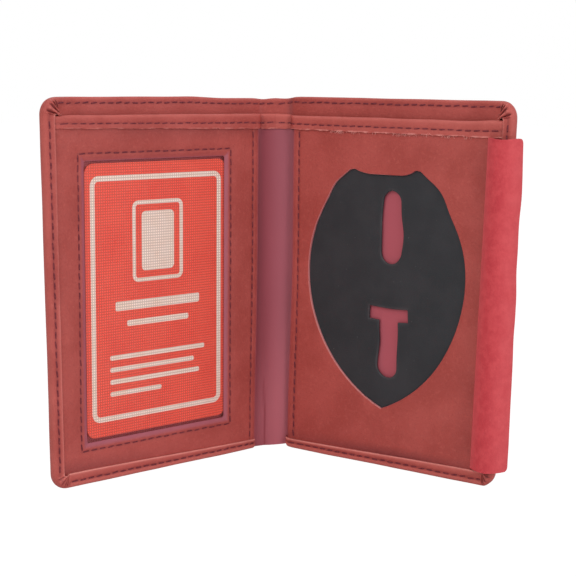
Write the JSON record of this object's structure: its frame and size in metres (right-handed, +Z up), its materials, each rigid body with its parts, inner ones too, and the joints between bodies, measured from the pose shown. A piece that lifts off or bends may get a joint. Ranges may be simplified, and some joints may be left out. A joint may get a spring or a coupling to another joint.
{
  "type": "id badge wallet",
  "caption": "Bifold leather badge wallet standing open: a card window with a sliding card on one page, a shield-shaped badge opening, slotted backing and suede flap on the other.",
  "frame": {"origin": "middle of the spine's foot, on the line between the two fold axes", "axes": "+Z up along the spine, +X to the badge page, the open side faces -Y"},
  "size_m": [0.1413, 0.0561, 0.119],
  "materials": {
    "leather": "satin red leather with a fine grain",
    "lining": "smooth mauve lining cloth",
    "foil": "thin shielding foil",
    "thread": "dark plum sewing thread",
    "clear_weave": "clear woven sheet",
    "card": "printed card",
    "backing": "matte black leather",
    "suede": "raspberry suede with a short nap"
  },
  "bodies": {
    "spine": {"spine_cover": "leather", "spine_bill_lining": "lining", "spine_wall_lining": "lining", "spine_binding": "leather", "spine_top_stitches": "thread", "spine_binding_stitches": "thread"},
    "left_page": {"left_cover": "leather", "left_shield_foil": "foil", "left_bill_lining": "lining", "left_wall_lining": "lining", "left_binding": "leather", "left_hem_stitches": "thread", "left_top_stitches": "thread", "left_binding_stitches": "thread", "left_panel_edge_stitches": "thread", "window_panel": "leather", "window_mesh": "clear_weave", "window_stitches": "thread"},
    "id_card": {"id_card": "card"},
    "right_page": {"right_cover": "leather", "right_shield_foil": "foil", "right_bill_lining": "lining", "right_wall_lining": "lining", "right_binding": "leather", "right_hem_stitches": "thread", "right_top_stitches": "thread", "right_binding_stitches": "thread", "right_panel_edge_stitches": "thread", "badge_panel": "leather", "badge_backing": "backing", "flap_root": "suede"},
    "badge_flap": {"badge_flap": "suede"}
  },
  "joints": [
    {"name": "left_page_fold", "type": "hinge", "parent": "spine", "child": "left_page", "pos_m": [-0.0055, 0, 0], "axis": [0, 0, 1], "range_deg": [-38, 49]},
    {"name": "right_page_fold", "type": "hinge", "parent": "spine", "child": "right_page", "pos_m": [0.0055, 0, 0], "axis": [0, 0, -1], "range_deg": [-38, 49]},
    {"name": "id_card_slide", "type": "slide", "parent": "left_page", "child": "id_card", "axis": [0, 0, 1], "range_m": [0, 0.101]},
    {"name": "flap_fold", "type": "hinge", "parent": "right_page", "child": "badge_flap", "pos_m": [0.06002, -0.04716, 0], "axis": [0, 0, -1], "range_deg": [0, 68]}
  ]
}
